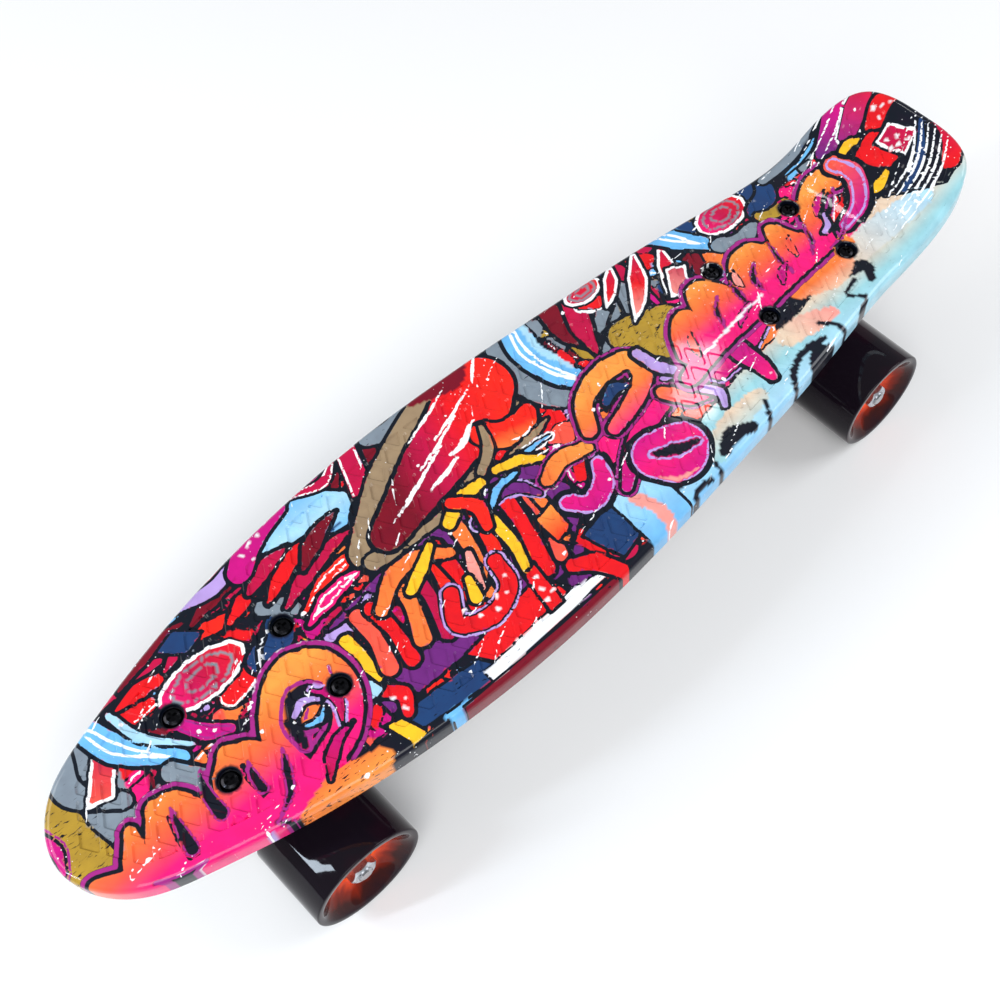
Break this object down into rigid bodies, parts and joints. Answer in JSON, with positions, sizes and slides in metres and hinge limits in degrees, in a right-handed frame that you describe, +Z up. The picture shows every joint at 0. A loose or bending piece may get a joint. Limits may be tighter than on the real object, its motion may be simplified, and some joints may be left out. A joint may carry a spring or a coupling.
{
  "type": "plastic cruiser skateboard",
  "caption": "Small plastic cruiser skateboard with a printed waffle-grip deck, kicktail, steering kingpin trucks and smoked urethane wheels.",
  "frame": {"origin": "on the floor under the middle of the deck: the centre of the bounding box in X and Y, wheels' contact at Z = 0", "axes": "+X towards the kicktail, -X towards the nose, +Y to the right-hand side facing the nose, +Z up"},
  "size_m": [0.57, 0.15, 0.1243],
  "materials": {
    "deck_plastic": null,
    "riser_rubber": "matt black rubber pad",
    "bolt_black": "black oxide machine screws",
    "nut_zinc": "bright zinc plated steel",
    "truck_casting": "satin black powder coat on cast aluminium",
    "cup_plastic": "black moulded cup",
    "bolt_steel": "zinc plated steel",
    "bushing_urethane": "cast red urethane",
    "washer_steel": "stamped zinc plated steel",
    "wheel_urethane": "glossy smoked red translucent urethane",
    "bearing_steel": "ground bearing steel",
    "shield_steel": "pressed steel shield",
    "cage_plastic": "natural nylon ball cage"
  },
  "bodies": {
    "deck": {"deck": "deck_plastic", "front_riser_pad": "riser_rubber", "front_deck_bolts": "bolt_black", "front_deck_nuts": "nut_zinc", "front_baseplate": "truck_casting", "front_pivot_cup": "cup_plastic", "front_kingpin": "bolt_steel", "front_kingpin_nut": "nut_zinc", "front_board_side_bushing": "bushing_urethane", "front_road_side_bushing": "bushing_urethane", "front_board_side_washer": "washer_steel", "front_road_side_washer": "washer_steel", "rear_riser_pad": "riser_rubber", "rear_deck_bolts": "bolt_black", "rear_deck_nuts": "nut_zinc", "rear_baseplate": "truck_casting", "rear_pivot_cup": "cup_plastic", "rear_kingpin": "bolt_steel", "rear_kingpin_nut": "nut_zinc", "rear_board_side_bushing": "bushing_urethane", "rear_road_side_bushing": "bushing_urethane", "rear_board_side_washer": "washer_steel", "rear_road_side_washer": "washer_steel"},
    "front_truck_hanger": {"front_hanger": "truck_casting", "front_axle": "bolt_steel", "front_axle_nuts": "nut_zinc", "front_axle_washers": "washer_steel", "front_left_bearing_inner_races": "bearing_steel", "front_left_bearing_spacer": "washer_steel", "front_right_bearing_inner_races": "bearing_steel", "front_right_bearing_spacer": "washer_steel"},
    "rear_truck_hanger": {"rear_hanger": "truck_casting", "rear_axle": "bolt_steel", "rear_axle_nuts": "nut_zinc", "rear_axle_washers": "washer_steel", "rear_left_bearing_inner_races": "bearing_steel", "rear_left_bearing_spacer": "washer_steel", "rear_right_bearing_inner_races": "bearing_steel", "rear_right_bearing_spacer": "washer_steel"},
    "front_left_wheel": {"front_left_wheel": "wheel_urethane", "front_left_bearing_outer_races": "bearing_steel", "front_left_bearing_shields": "shield_steel"},
    "front_left_bearing_cage": {"front_left_bearing_cages": "cage_plastic", "front_left_bearing_balls": "bearing_steel"},
    "front_right_wheel": {"front_right_wheel": "wheel_urethane", "front_right_bearing_outer_races": "bearing_steel", "front_right_bearing_shields": "shield_steel"},
    "front_right_bearing_cage": {"front_right_bearing_cages": "cage_plastic", "front_right_bearing_balls": "bearing_steel"},
    "rear_left_wheel": {"rear_left_wheel": "wheel_urethane", "rear_left_bearing_outer_races": "bearing_steel", "rear_left_bearing_shields": "shield_steel"},
    "rear_left_bearing_cage": {"rear_left_bearing_cages": "cage_plastic", "rear_left_bearing_balls": "bearing_steel"},
    "rear_right_wheel": {"rear_right_wheel": "wheel_urethane", "rear_right_bearing_outer_races": "bearing_steel", "rear_right_bearing_shields": "shield_steel"},
    "rear_right_bearing_cage": {"rear_right_bearing_cages": "cage_plastic", "rear_right_bearing_balls": "bearing_steel"}
  },
  "joints": [
    {"name": "front_truck_steer", "type": "hinge", "parent": "deck", "child": "front_truck_hanger", "pos_m": [-0.204, 0, 0.07], "axis": [0.8595, 0, -0.5112], "range_deg": [-12, 12], "stiffness_Nm_per_rad": 20, "deforming": ["front_board_side_bushing", "front_road_side_bushing"]},
    {"name": "front_left_wheel_spin", "type": "hinge", "parent": "front_truck_hanger", "child": "front_left_wheel", "pos_m": [-0.192, 0, 0.03], "axis": [0, 1, 0], "continuous": true},
    {"name": "front_left_cage_spin", "type": "hinge", "parent": "front_truck_hanger", "child": "front_left_bearing_cage", "pos_m": [-0.192, 0, 0.03], "axis": [0, 1, 0], "continuous": true},
    {"name": "front_right_wheel_spin", "type": "hinge", "parent": "front_truck_hanger", "child": "front_right_wheel", "pos_m": [-0.192, 0, 0.03], "axis": [0, 1, 0], "continuous": true},
    {"name": "front_right_cage_spin", "type": "hinge", "parent": "front_truck_hanger", "child": "front_right_bearing_cage", "pos_m": [-0.192, 0, 0.03], "axis": [0, 1, 0], "continuous": true},
    {"name": "rear_truck_steer", "type": "hinge", "parent": "deck", "child": "rear_truck_hanger", "pos_m": [0.1945, 0, 0.07], "axis": [-0.8595, 0, -0.5112], "range_deg": [-12, 12], "stiffness_Nm_per_rad": 20, "deforming": ["rear_board_side_bushing", "rear_road_side_bushing"]},
    {"name": "rear_left_wheel_spin", "type": "hinge", "parent": "rear_truck_hanger", "child": "rear_left_wheel", "pos_m": [0.1825, 0, 0.03], "axis": [0, 1, 0], "continuous": true},
    {"name": "rear_left_cage_spin", "type": "hinge", "parent": "rear_truck_hanger", "child": "rear_left_bearing_cage", "pos_m": [0.1825, 0, 0.03], "axis": [0, 1, 0], "continuous": true},
    {"name": "rear_right_wheel_spin", "type": "hinge", "parent": "rear_truck_hanger", "child": "rear_right_wheel", "pos_m": [0.1825, 0, 0.03], "axis": [0, 1, 0], "continuous": true},
    {"name": "rear_right_cage_spin", "type": "hinge", "parent": "rear_truck_hanger", "child": "rear_right_bearing_cage", "pos_m": [0.1825, 0, 0.03], "axis": [0, 1, 0], "continuous": true}
  ],
  "couplings": [
    {"joint": "front_left_cage_spin", "follows": "front_left_wheel_spin", "ratio": 0.6323},
    {"joint": "front_right_cage_spin", "follows": "front_right_wheel_spin", "ratio": 0.6323},
    {"joint": "rear_left_cage_spin", "follows": "rear_left_wheel_spin", "ratio": 0.6323},
    {"joint": "rear_right_cage_spin", "follows": "rear_right_wheel_spin", "ratio": 0.6323}
  ]
}
